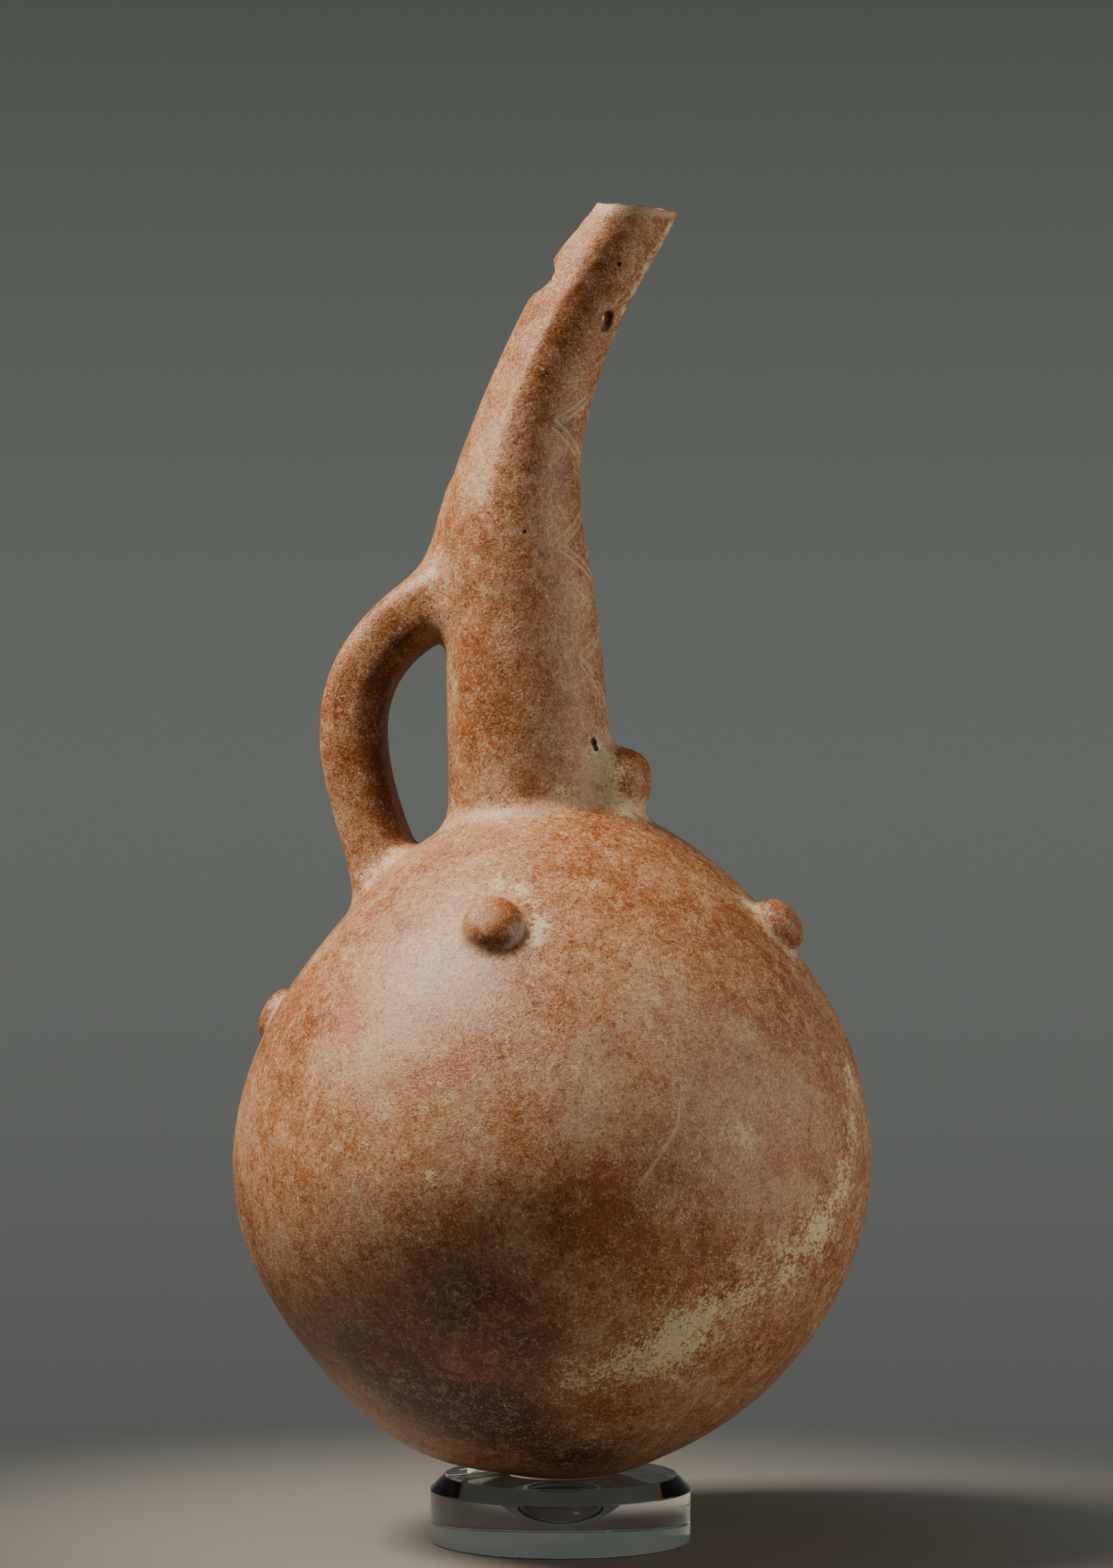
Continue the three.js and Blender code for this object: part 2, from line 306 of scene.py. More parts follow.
# Both ends of the clay smeared up the neck above the handle: rise, radius, and share of it off the wall
SMEAR_ENDS = [(0, 0.4 * HANDLE_THICKNESS, 0.5), (HANDLE_SMEAR_HEIGHT, NECK_WALL / 2, -1)]


def make_smear_line():
    top_z = NECK_FOOT_Z + HANDLE_TOP_HEIGHT
    ends = []
    for rise, depth, set_out in SMEAR_ENDS:
        middle, radius = neck_at(top_z + rise)
        ends.append((np.array([middle[0] - radius - set_out * depth, 0, top_z + rise]), depth))
    share = np.linspace(0, 1, 40)
    (low, low_depth), (high, high_depth) = ends
    centres = low + (high - low) * share[:, None]
    return make_line(centres, radius=low_depth + (high_depth - low_depth) * share)


HANDLE_LINE = make_handle_line()
SMEAR_LINE = make_smear_line()


def handle_form(points):
    """Distance from the handle, a strap with a rounded square section."""
    index, offset = nearest(points, HANDLE_LINE, np.zeros(len(HANDLE_LINE["centre"])))
    back = (offset * HANDLE_LINE["back"][index]).sum(axis=1)
    along = (offset * HANDLE_LINE["along"][index]).sum(axis=1)
    flare = HANDLE_LINE["flare"][index]
    depth, width = HANDLE_THICKNESS / 2 * flare, HANDLE_WIDTH / 2 * flare
    power = HANDLE_SQUARENESS
    across = (np.abs(back) / depth) ** power + (np.abs(offset[:, 1]) / width) ** power
    size = (across + (np.abs(along) / depth) ** power) ** (1 / power)
    return (size - 1) * depth


def smear_form(points):
    index, offset = nearest(points, SMEAR_LINE, SMEAR_LINE["radius"])
    return lengths(offset) - SMEAR_LINE["radius"][index]


def shoulder_knob(rise, degrees, height):
    """Place, direction and size of a knob that stands square on the shoulder."""
    z = BELLY_Z + rise
    angle = math.radians(degrees)
    slope = (upper_radius(z - 1) - upper_radius(z + 1)) / 2
    radius = upper_radius(z) - float(shoulder_dip(z, angle))
    place = np.array([radius * math.cos(angle) - AXIS_SET_BACK, radius * math.sin(angle), z])
    outward = np.array([math.cos(angle), math.sin(angle), slope])
    return place, outward / np.linalg.norm(outward), KNOB_RADIUS, height


def neck_knob():
    """Place, direction and size of the knob on the front of the neck's foot."""
    middle, radius = neck_at(NECK_FOOT_Z + NECK_KNOB_RISE)
    forward = np.array([1.0, 0, 0])
    return middle + radius * forward, forward, NECK_KNOB_RADIUS, NECK_KNOB_HEIGHT


SHOULDER_KNOBS = [
    shoulder_knob(SIDE_KNOB_RISE, -90, SIDE_KNOB_HEIGHT),
    shoulder_knob(SIDE_KNOB_RISE, 90, SIDE_KNOB_HEIGHT),
    shoulder_knob(FRONT_KNOB_RISE, 0, KNOB_HEIGHT),
    shoulder_knob(BACK_KNOB_RISE, 180, WORN_KNOB_HEIGHT),
]

# Every knob with the wall that its root is sunk in, how far off its form still matters, and its fillet
KNOBS = [(knob, BODY_WALL, 34, KNOB_FILLET) for knob in SHOULDER_KNOBS]
KNOBS.append((neck_knob(), NECK_WALL, 44, NECK_KNOB_FILLET))

# Where the other forms matter
NECK_LOW = NECK_FOOT_Z - 45
HANDLE_BOX = ((-110, -45, BELLY_Z + 70), (0, 45, NECK_FOOT_Z + 125))
SMEAR_BOX = ((-80, -40, NECK_FOOT_Z + 55), (0, 40, NECK_FOOT_Z + 165))

# How much lime crust the worked corner of each join holds
NECK_CRUST = 0.7
HANDLE_CRUST = 0.5
SMEAR_CRUST = 0
KNOB_CRUST = 1


def knob_form(points, knob):
    place, direction, radius, height = knob
    offset = points - place
    out = offset @ direction
    across = lengths(offset - out[:, None] * direction)
    power = KNOB_SQUARENESS
    size = ((across / radius) ** power + (np.abs(out) / height) ** power) ** (1 / power)
    return lengths(offset) * (1 - 1 / np.maximum(size, 1e-3))


def join(first, second, fillet):
    """Soft union of two distances, and how deep a point lies in the worked corner between them."""
    share = np.clip(0.5 + 0.5 * (second - first) / fillet, 0, 1)
    corner = share * (1 - share)
    close = 1 - step(0.3, 0.6, np.minimum(first, second) / fillet)
    return second + (first - second) * share - fillet * corner, 4 * corner * close


def near(points, low, high):
    return np.all((points > low) & (points < high), axis=1)


def jug_form(points):
    """Distance from the whole outside, and how deep in a worked corner each point lies."""
    distance = body_form(points)
    corner = np.zeros(len(points))

    def add(chosen, other, fillet, crust):
        joined, fill = join(distance[chosen], other, fillet)
        distance[chosen] = joined
        corner[chosen] = np.maximum(corner[chosen], crust * fill)

    for chosen, form, fillet, crust in (
        (points[:, 2] > NECK_LOW, neck_form, NECK_FILLET, NECK_CRUST),
        (near(points, *HANDLE_BOX), handle_form, HANDLE_FILLET, HANDLE_CRUST),
        (near(points, *SMEAR_BOX), smear_form, SMEAR_FILLET, SMEAR_CRUST),
    ):
        add(chosen, form(points[chosen]), fillet, crust)
    for knob, _, reach, fillet in KNOBS:
        chosen = near(points, knob[0] - reach, knob[0] + reach)
        add(chosen, knob_form(points[chosen], knob), fillet, KNOB_CRUST)
    return distance, corner


def inside_form(points):
    """Distance from the hollow: the body's room and the neck's channel."""
    room = body_form(points, BODY_WALL, BODY_FLOOR)
    high = points[:, 2] > NECK_LOW
    room[high] = join(room[high], neck_form(points[high], inside=True), NECK_FILLET)[0]
    return room


def slope_of(form, points):
    """Direction in which a form's distance grows fastest."""
    probe = 0.4
    slope = np.empty_like(points)
    for axis in range(3):
        offset = np.zeros(3)
        offset[axis] = probe
        slope[:, axis] = (form(points + offset) - form(points - offset)) / (2 * probe)
    return slope


def settle(points, form, rounds):
    """Moves points onto the surface where the form's distance is nought."""
    for _ in range(rounds):
        slope = slope_of(form, points)
        length = np.maximum((slope ** 2).sum(axis=1), 0.05)
        points = points - (form(points) / length)[:, None] * slope
    return points


def outside_distance(points):
    return jug_form(points)[0]


# Pieces are modelled in millimetres and scaled to metres at the end

def add_turned(bm, profile, steps, matrix=None):
    """A solid of revolution from [radius, height] points, both ends on the axis."""
    before = set(bm.verts)
    verts = [bm.verts.new((radius, 0, height)) for radius, height in profile]
    edges = [bm.edges.new(pair) for pair in zip(verts, verts[1:])]
    bmesh.ops.spin(
        bm, geom=verts + edges, cent=(0, 0, 0), axis=(0, 0, 1), angle=math.tau, steps=steps,
        use_merge=True,
    )
    made = [vert for vert in bm.verts if vert not in before]
    bmesh.ops.remove_doubles(bm, verts=made, dist=1e-4)
    if matrix is not None:
        made = [vert for vert in bm.verts if vert not in before]
        bmesh.ops.transform(bm, matrix=matrix, verts=made)


def carried_on(bm, face, matrix, is_first):
    """Extrudes a bar's end face by one step and returns the new end. The first face stays behind to close
    the bar."""
    made = bmesh.ops.extrude_face_region(bm, geom=[face], use_keep_orig=True)["geom"]
    if not is_first:
        bmesh.ops.delete(bm, geom=[face], context="FACES_ONLY")
    end = next(item for item in made if isinstance(item, bmesh.types.BMFace))
    bmesh.ops.transform(bm, matrix=matrix, verts=end.verts[:])
    return end


def matrix_of(place, *axes):
    """Matrix of a place with its own X, Y and Z axes."""
    turn = Matrix([[float(axis[row]) for axis in axes] for row in range(3)])
    return Matrix.Translation(place) @ turn.to_4x4()


def add_bar(bm, line, every, sides, widths, depths):
    """A bar along a bent line, its end face carried on from station to station."""
    across = np.array([0, 1, 0])
    frames = [
        matrix_of(line["centre"][i], line["back"][i] * depths[i], across * widths[i], line["along"][i])
        for i in range(0, len(line["centre"]), every)
    ]
    ring = bmesh.ops.create_circle(bm, cap_ends=True, segments=sides, radius=1)["verts"]
    bmesh.ops.transform(bm, matrix=frames[0], verts=ring)
    face = ring[0].link_faces[0]
    for before, after in zip(frames, frames[1:]):
        face = carried_on(bm, face, after @ before.inverted(), before is frames[0])


def knob_matrix(knob):
    place, direction = knob[:2]
    turn = Vector((0, 0, 1)).rotation_difference(Vector(direction))
    return Matrix.Translation(place) @ turn.to_matrix().to_4x4()


def dome(radius, height, root, rows):
    """Profile of a pressed-on pellet of clay with its root sunk in the wall."""
    profile = [(0, -root), (radius, -root)]
    for row in range(rows + 1):
        angle = math.pi / 2 * row / rows
        across = 0 if row == rows else math.cos(angle) ** (2 / KNOB_SQUARENESS)
        profile.append((radius * across, height * math.sin(angle) ** (2 / KNOB_SQUARENESS)))
    return profile


def body_profile(wall, floor, rows):
    """Profile of the body from its bottom to its top, set in by a wall and a floor."""
    profile = []
    for row in range(-rows, rows + 1):
        angle = math.pi / 2 * abs(row) / rows
        power = 2 / (LOWER_FULLNESS if row < 0 else UPPER_FULLNESS)
        height = BODY_LOWER_HEIGHT - floor if row < 0 else BODY_UPPER_HEIGHT - wall
        across = 0 if abs(row) == rows else math.cos(angle) ** power
        rise = math.copysign(height * math.sin(angle) ** power, row)
        profile.append(((BODY_RADIUS - wall) * across, BELLY_Z + rise))
    return profile


def fused(bm, spacing):
    """The outer skin of everything in the bmesh, as one closed even mesh."""
    bmesh.ops.recalc_face_normals(bm, faces=bm.faces)
    holder = object_from(bm, "rough")
    remesh = holder.modifiers.new("fuse", "REMESH")
    remesh.mode = "VOXEL"
    remesh.voxel_size = spacing
    return applied(holder)


def add_object(name, data):
    holder = bpy.data.objects.new(name, data)
    bpy.context.scene.collection.objects.link(holder)
    return holder


def object_from(bm, name):
    mesh = bpy.data.meshes.new(name)
    bm.to_mesh(mesh)
    bm.free()
    return add_object(name, mesh)


def applied(holder):
    """The holder's mesh with its modifiers applied; the holder goes."""
    bpy.context.view_layer.update()
    ready = holder.evaluated_get(bpy.context.evaluated_depsgraph_get())
    mesh = bpy.data.meshes.new_from_object(ready)
    bpy.data.objects.remove(holder)
    return mesh


def points_of(mesh):
    flat = np.empty(len(mesh.vertices) * 3)
    mesh.vertices.foreach_get("co", flat)
    return flat.reshape(-1, 3)


def set_points(mesh, points):
    mesh.vertices.foreach_set("co", np.asarray(points, float).ravel())
    mesh.update()


def rough_outside():
    """The jug's outside: plain solids fused to an even mesh, which then settles onto the soft form."""
    bm = bmesh.new()
    drift = Matrix.Translation((-AXIS_SET_BACK, 0, 0))
    add_turned(bm, body_profile(wall=0, floor=0, rows=24), steps=72, matrix=drift)
    radius = NECK_LINE["radius"]
    add_bar(bm, NECK_LINE, every=6, sides=32, widths=radius, depths=radius)
    widths, depths = (HANDLE_LINE["flare"] * size / 2 for size in (HANDLE_WIDTH, HANDLE_THICKNESS))
    add_bar(bm, HANDLE_LINE, every=5, sides=20, widths=widths, depths=depths)
    radius = SMEAR_LINE["radius"]
    add_bar(bm, SMEAR_LINE, every=5, sides=16, widths=radius, depths=radius)
    for knob, root, _, _ in KNOBS:
        add_turned(bm, dome(knob[2], knob[3], root, rows=8), steps=24, matrix=knob_matrix(knob))
    mesh = fused(bm, OUTSIDE_SPACING)
    set_points(mesh, settle(points_of(mesh), outside_distance, rounds=4))
    return mesh


def rough_inside():
    """The jug's hollow, which runs on past the tip so that it opens the mouth."""
    bm = bmesh.new()
    drift = Matrix.Translation((-AXIS_SET_BACK, 0, 0))
    add_turned(bm, body_profile(BODY_WALL, BODY_FLOOR, rows=16), steps=48, matrix=drift)
    radius = NECK_LINE["radius"] - NECK_LINE["wall"]
    add_bar(bm, NECK_LINE, every=6, sides=28, widths=radius, depths=radius)
    mesh = fused(bm, INSIDE_SPACING)
    points = points_of(mesh)
    tip = NECK_LINE["centre"][-1] - NECK_LINE["along"][-1] * 2 * INSIDE_SPACING
    kept = (points - tip) @ NECK_LINE["along"][-1] > 0
    settled = settle(points, inside_form, rounds=4)
    settled[kept] = points[kept]
    set_points(mesh, settled)
    return mesh


# What is missing at the mouth, drawn in spout radii along the spout past its tip and out of its back; how
# many of its sides, from the first, are rough with broken clay
MOUTH_CUT = [
    (-2.85, 1.2), (-2.55, 0.8), (-2.16, 0.59), (-1.93, 0.63), (-1.76, 0.9),
    (-0.21, 0.52), (0.58, -1.28), (2.6, -1.28), (2.6, 2.6), (-2.85, 2.6),
]
BROKEN_SIDES = 7
MOUTH_CUT_WIDTH = 3.2 * SPOUT_RADIUS

# Coarse and fine bumps of the broken clay: depth in millimetres, and bumps in a millimetre
BREAK_BUMPS = [(0.7, 0.22), (0.25, 0.8)]


def tip_frame():
    """Matrix of the spout's tip: X along the spout, Y out of its back, Z across it."""
    i = int(np.argmax(NECK_LINE["share"] >= 1))
    along, back = NECK_LINE["along"][i], NECK_LINE["back"][i]
    return matrix_of(NECK_LINE["centre"][i], along, back, np.cross(along, back))


def mouth_cutter():
    """Everything that is cut or broken away at the mouth, its faces roughened like broken clay."""
    bm = bmesh.new()
    verts = [
        bm.verts.new((along * SPOUT_RADIUS, out * SPOUT_RADIUS, -MOUTH_CUT_WIDTH / 2))
        for along, out in MOUTH_CUT
    ]
    edges = [bm.edges.new(pair) for pair in zip(verts, verts[1:] + verts[:1])]
    for edge in edges[:BROKEN_SIDES]:
        cuts = int(edge.calc_length() / BREAK_SPACING)
        bmesh.ops.subdivide_edges(bm, edges=[edge], cuts=cuts)
    face = bmesh.ops.contextual_create(bm, geom=bm.edges[:])["faces"][0]
    rows = int(MOUTH_CUT_WIDTH / BREAK_SPACING)
    step_across = Matrix.Translation((0, 0, MOUTH_CUT_WIDTH / rows))
    for row in range(rows):
        face = carried_on(bm, face, step_across, row == 0)
    for vert in bm.verts:
        vert.co.y += sum(depth * noise.noise(vert.co * often) for depth, often in BREAK_BUMPS)
        vert.co.x += 0.5 * noise.noise(vert.co * 0.3 + Vector((9, 4, 2)))
    bmesh.ops.triangulate(bm, faces=[face for face in bm.faces if len(face.verts) > 4])
    bmesh.ops.transform(bm, matrix=tip_frame(), verts=bm.verts)
    bmesh.ops.recalc_face_normals(bm, faces=bm.faces)
    return object_from(bm, "mouth_cutter")


def slot_cutter():
    """The open slot of the mouth down the back of the spout, with a round lower end."""
    bm = bmesh.new()
    half = MOUTH_SLOT_WIDTH / 2
    bmesh.ops.create_cone(
        bm, cap_ends=True, segments=24, radius1=half, radius2=half, depth=1.4 * SPOUT_RADIUS,
    )
    end = half - MOUTH_SLOT_LENGTH
    for vert in bm.verts:
        if vert.co.x > -1e-4:
            vert.co.x += SPOUT_RADIUS - end
    turn = Matrix.Rotation(math.radians(-90), 4, "X")
    place = Matrix.Translation((end, 1.05 * SPOUT_RADIUS, 0))
    bmesh.ops.transform(bm, matrix=tip_frame() @ place @ turn, verts=bm.verts)
    bmesh.ops.recalc_face_normals(bm, faces=bm.faces)
    return object_from(bm, "slot_cutter")


def carve(mesh, cutters):
    """The mesh with each cutter taken out of it."""
    holder = add_object("jug", mesh)
    for cutter in cutters:
        cut = holder.modifiers.new(cutter.name, "BOOLEAN")
        cut.operation = "DIFFERENCE"
        cut.solver = "MANIFOLD"
        cut.object = cutter
    mesh = applied(holder)
    for cutter in cutters:
        bpy.data.objects.remove(cutter)
    return mesh


# Walk from the eye to the jug: its start and end, its steps, and the share of the gap that each one takes
WALK_START = VIEW_DISTANCE - 1.5 * BODY_RADIUS
WALK_END = VIEW_DISTANCE + 40
WALK_STEPS = 60
WALK_SHARE = 0.9


def seen_at(spots):
    """The points of the jug's outside that show at these pixels of the picture."""
    spots = np.asarray(spots, float)
    right = (spots[:, 0] - PICTURE_WIDTH / 2) / FOCAL_PIXELS
    up = (PICTURE_HEIGHT / 2 - spots[:, 1]) / FOCAL_PIXELS
    ray = np.column_stack([right, np.ones_like(up), up]) @ VIEW.T
    ray /= lengths(ray)[:, None]
    gone = np.full(len(spots), WALK_START)
    for _ in range(WALK_STEPS):
        ahead = outside_distance(EYE + ray * gone[:, None])
        gone = np.where(gone < WALK_END, gone + WALK_SHARE * ahead, gone)
    return EYE + ray * gone[:, None]


def along_path(corners, spacing=0.4):
    """Points every few tenths of a millimetre along straight runs between corners."""
    runs = []
    for first, last in zip(corners, corners[1:]):
        count = max(2, int(np.linalg.norm(last - first) / spacing))
        runs.append(first + (last - first) * np.linspace(0, 1, count)[:, None])
    return np.vstack(runs)


# Double zigzag cut into the front of the neck before firing: height of each turn and its compass angle
ZIGZAG = [(449, 34), (426, -47), (403, 40), (379.5, -38), (358, 40), (336, -31), (315, 12)]
ZIGZAG_GAP = 3.4
LINE_HALF_WIDTH = 0.5
LINE_DEPTH = 0.35

# A later scratch across the belly, as seen in the picture
SCRATCH = [(995, 1599), (991, 1642), (962, 1690), (934, 1731)]
SCRATCH_DEPTH = 0.25

# Ridge between the neck's flattened back and its round side, as seen in the picture; its pale line stands
# for both wear and painted highlight
RIDGE = [
    (886, 345), (870, 375), (843, 410), (816, 442), (795, 480), (777, 512), (757, 556), (738, 602),
    (718, 650),
]
RIDGE_RISE = 0.4

# Chipped rim of the spout, as seen in the picture
CHIPPED_RIM = [(872, 301), (903, 304), (930, 306), (960, 309), (984, 315)]

# Holes left by lost grit, as seen in the picture: pixel across and down, radius and depth in millimetres
PITS = [
    (888, 465, 2.3, 2.9), (887, 475, 2.5, 2.9), (903, 386, 0.8, 0.8), (765, 776, 0.8, 0.7),
    (867, 1083, 1.2, 1.6), (869, 1091, 1.0, 1.2),
]


def zigzag_paths():
    paths = []
    for offset in (-ZIGZAG_GAP / 2, ZIGZAG_GAP / 2):
        heights, degrees = np.array(ZIGZAG, float).T
        share = np.linspace(0, len(ZIGZAG) - 1, 60 * (len(ZIGZAG) - 1))
        z = np.interp(share, range(len(ZIGZAG)), heights) + offset
        angle = np.radians(np.interp(share, range(len(ZIGZAG)), degrees))
        line_z = NECK_LINE["centre"][:, 2]
        x = np.interp(z, line_z, NECK_LINE["centre"][:, 0])
        radius = np.interp(z, line_z, NECK_LINE["radius"])
        around = np.column_stack([x + radius * np.cos(angle), radius * np.sin(angle), z])
        paths.append(along_path(settle(around, outside_distance, rounds=3)))
    return np.vstack(paths)


ZIGZAG_PATH = zigzag_paths()
SCRATCH_PATH = along_path(seen_at(SCRATCH))
RIDGE_PATH = along_path(seen_at(RIDGE), spacing=0.5)
CHIPPED_PATH = along_path(seen_at(CHIPPED_RIM))
PIT_PLACES = seen_at([pit[:2] for pit in PITS])


def distance_to(points, path, reach):
    """Distance from each point to the nearest point of a path; past reach it stays at reach."""
    result = np.full(len(points), float(reach))
    chosen = np.where(near(points, path.min(axis=0) - reach, path.max(axis=0) + reach))[0]
    for start in range(0, len(chosen), CHUNK):
        part = chosen[start:start + CHUNK]
        gap = np.linalg.norm(points[part][:, None] - path[None], axis=2).min(axis=1)
        result[part] = np.minimum(gap, reach)
    return result


def band(points, path, reach, half_width, power=2):
    """How much each point belongs to the mark along a path: 1 on the path, falling to 0 beside it."""
    return np.exp(-(distance_to(points, path, reach) / half_width) ** power)


def make_finer(mesh, path, reaches):
    """Splits the mesh's edges near a path, once for each reach."""
    bm = bmesh.new()
    bm.from_mesh(mesh)
    for reach in reaches:
        bm.verts.ensure_lookup_table()
        points = np.array([vert.co for vert in bm.verts])
        close = distance_to(points, path, 3 * reach) < reach
        edges = [edge for edge in bm.edges if close[edge.verts[0].index] or close[edge.verts[1].index]]
        bmesh.ops.subdivide_edges(bm, edges=edges, cuts=1, use_grid_fill=True)
        bm.verts.index_update()
    bm.to_mesh(mesh)
    bm.free()


def uneven(points, size, seed):
    """Smooth random heights from -1 to 1 with bumps of about a size in millimetres."""
    offset = Vector((17.3 * seed, -9.1 * seed, 4.7 * seed))
    return np.array([noise.noise(Vector(point) / size + offset) for point in points])


# Marks of the potter's hands, and lime crust in the corners and in thick patches: height, size and seed
HAND_MARKS = [(0.4, 24, 1), (0.16, 7, 2)]
CORNER_CRUST = (0.6, 3.4, 3)
THICK_CRUST = (0.8, 5, 4)


def crust(points, cover, height, size, seed):
    """Height of lumps of lime with clean clay between them."""
    return cover * height * np.maximum(0, uneven(points, size, seed) + 0.2)


def relief(points, corner):
    """How far the surface stands off its smooth form: hand marks, crust, ridge, cut lines and pits."""
    height = np.zeros(len(points))
    for depth, size, seed in HAND_MARKS:
        height -= depth * (0.5 + 0.5 * uneven(points, size, seed))
    height += crust(points, corner, *CORNER_CRUST)
    height += crust(points, np.minimum(painted(points, THICK_LIME), 1), *THICK_CRUST)
    height += RIDGE_RISE * band(points, RIDGE_PATH, 5, 1.3)
    height -= LINE_DEPTH * band(points, ZIGZAG_PATH, 4, LINE_HALF_WIDTH)
    height -= SCRATCH_DEPTH * band(points, SCRATCH_PATH, 4, LINE_HALF_WIDTH)
    for place, (_, _, radius, depth) in zip(PIT_PLACES, PITS):
        gap = lengths(points - place)
        height -= depth * np.exp(-(gap / radius) ** 4)
    return height


# Films and stains, with painted shade and painted highlight among them, each as seen in the picture:
# pixel across and down, radius in millimetres, strength
LIME_PATCHES = [
    (882, 1105, 5, 1.0), (890, 1135, 5, 0.8), (892, 1165, 5, 0.8), (915, 1184, 5, 0.9),
    (945, 1196, 5, 0.8), (900, 1145, 5, 0.4), (870, 1090, 4, 0.8), (868, 1130, 4, 0.5),
    (1242, 1570, 9, 0.8), (1245, 1650, 9, 0.8), (1232, 1720, 10, 0.8), (1200, 1790, 12, 1.0),
    # The fleck patch at 1080, 1660 is lime crust and also stands for the side lamp's small highlight
    (1155, 1845, 12, 0.7), (1080, 1660, 7, 0.8), (965, 1960, 13, 0.9), (1025, 1920, 13, 0.8),
    (1090, 1885, 13, 0.6), (900, 1995, 11, 0.7), (835, 2010, 9, 0.5), (1000, 1990, 12, 0.5),
    (787, 1345, 4, 1.0), (782, 1318, 4, 1.0), (760, 1294, 4, 1.0), (725, 1286, 4, 0.8),
    (780, 1370, 4, 0.8), (1090, 1318, 5, 1.1), (560, 1262, 6, 0.5), (588, 1240, 6, 0.5),
    (535, 1290, 6, 0.4), (660, 1166, 4, 0.6), (740, 1160, 4, 0.5), (820, 1156, 4, 0.6),
    (978, 330, 4, 0.9), (962, 362, 4, 1.1), (945, 392, 4, 1.2), (928, 424, 4, 1.2), (910, 455, 4, 1.0),
    (898, 490, 3, 0.8), (950, 314, 3, 0.8), (628, 1711, 3, 0.9), (590, 2020, 7, 0.3), (845, 600, 3, 0.5),
    (850, 650, 3, 0.5), (872, 1000, 4, 0.5),
]
# Pale film and painted highlight: the patches on the upper left of the belly and on the left of the neck
# lie on the key lamp's sheen and brighten it
HAZE_AND_SHEEN_PATCHES = [
    (550, 1540, 16, 0.8), (690, 1440, 20, 0.8), (620, 1430, 24, 0.9), (840, 1540, 17, 1.0),
    (860, 1630, 13, 0.9), (700, 1620, 13, 0.6), (530, 1760, 16, 0.9), (410, 1820, 14, 0.9),
    (470, 1550, 10, 0.5), (650, 1700, 14, 0.5), (620, 1830, 14, 0.3), (360, 1650, 12, 0.5),
    (1060, 1500, 14, 0.5), (960, 1450, 16, 0.5), (880, 1380, 16, 0.4), (1150, 1900, 14, 0.6),
    (1170, 1600, 16, 0.6), (1130, 1740, 16, 0.7), (1060, 1600, 14, 0.6), (940, 1500, 16, 0.6),
    (850, 1960, 12, 0.3), (1000, 2040, 14, 0.5), (705, 640, 8, 0.7), (695, 710, 8, 0.6),
    (720, 1210, 14, 0.4), (600, 1250, 10, 0.9), (770, 1120, 9, 0.4), (780, 950, 10, 0.4),
    (740, 870, 10, 0.3), (790, 1040, 9, 0.5),
]
OCHRE_PATCHES = [
    (870, 1770, 15, 2.0), (930, 1830, 10, 1.2), (1045, 1810, 9, 1.4), (1140, 1690, 10, 1.2),
    (980, 1700, 11, 0.7), (958, 1880, 7, 1.3), (620, 1600, 11, 0.6), (700, 1530, 10, 0.6),
    (590, 1350, 10, 0.6), (720, 1920, 12, 1.2), (800, 1930, 9, 1.2), (688, 950, 9, 1.1),
    (690, 1010, 9, 1.1), (692, 1070, 8, 1.0), (815, 700, 8, 0.8), (885, 400, 8, 0.9), (845, 510, 8, 0.9),
    (820, 600, 8, 0.7), (845, 720, 8, 0.6), (850, 800, 8, 0.5), (1150, 1520, 12, 0.5),
    (1000, 1260, 16, 0.4), (860, 1250, 14, 0.4), (1130, 1322, 6, 1.2), (1156, 1362, 6, 1.5),
    (945, 1120, 6, 1.6), (935, 1105, 5, 1.0), (480, 1010, 9, 1.0), (495, 1120, 9, 1.0),
    (560, 880, 8, 0.8), (440, 1500, 12, 0.6), (930, 1980, 5, 0.6), (1120, 1980, 12, 0.4),
    (800, 450, 8, 0.6), (760, 520, 7, 0.4), (716, 1335, 7, 2.4), (724, 1350, 7, 1.8), (835, 385, 8, 0.8),
    (805, 450, 8, 0.8), (772, 530, 8, 0.6),
]
RED_PATCHES = [
    (885, 1712, 7, 1.1), (510, 1480, 13, 0.8), (430, 1460, 12, 0.8), (600, 1590, 8, 0.7),
    (670, 1560, 9, 0.7), (690, 1980, 15, 0.8), (570, 1990, 13, 0.7), (1140, 1700, 10, 0.6),
    (1010, 1880, 7, 0.9), (860, 500, 7, 0.6), (760, 980, 9, 0.4), (930, 1300, 12, 0.5),
    (640, 1500, 8, 0.6), (820, 430, 8, 0.9), (860, 350, 8, 0.7),
]
# Painted shade: darker clay over the lower left of the belly, under the front knob and down the handle's
# inner face; the rest darken a few small spots on the neck
SHADE_AND_DARK_SPOT_PATCHES = [
    (680, 1890, 24, 0.7), (780, 1960, 20, 0.6), (840, 2130, 22, 1.0), (640, 2050, 26, 1.0),
    (540, 1980, 24, 0.8), (740, 2070, 22, 0.9), (450, 1960, 16, 0.5), (830, 620, 7, 0.5),
    (870, 380, 7, 0.6), (728, 1372, 7, 0.8), (752, 1350, 5, 0.6), (700, 1345, 5, 0.4),
    (777, 682, 2.5, 1.5), (795, 547, 2.5, 1.2), (860, 432, 1.6, 1.2), (760, 470, 5, 0.5),
    (590, 940, 8, 1.0), (566, 985, 9, 0.8), (556, 1030, 9, 0.8), (552, 1075, 9, 0.8),
    (556, 1120, 9, 0.8), (564, 1165, 9, 0.8), (578, 1205, 8, 0.8),
]


THICK_LIME = LIME_PATCHES[:4]
PATCHES = {
    "lime": LIME_PATCHES, "haze": HAZE_AND_SHEEN_PATCHES, "ochre": OCHRE_PATCHES, "red": RED_PATCHES,
    "dark": SHADE_AND_DARK_SPOT_PATCHES,
}
MOST_PAINT = 1.5


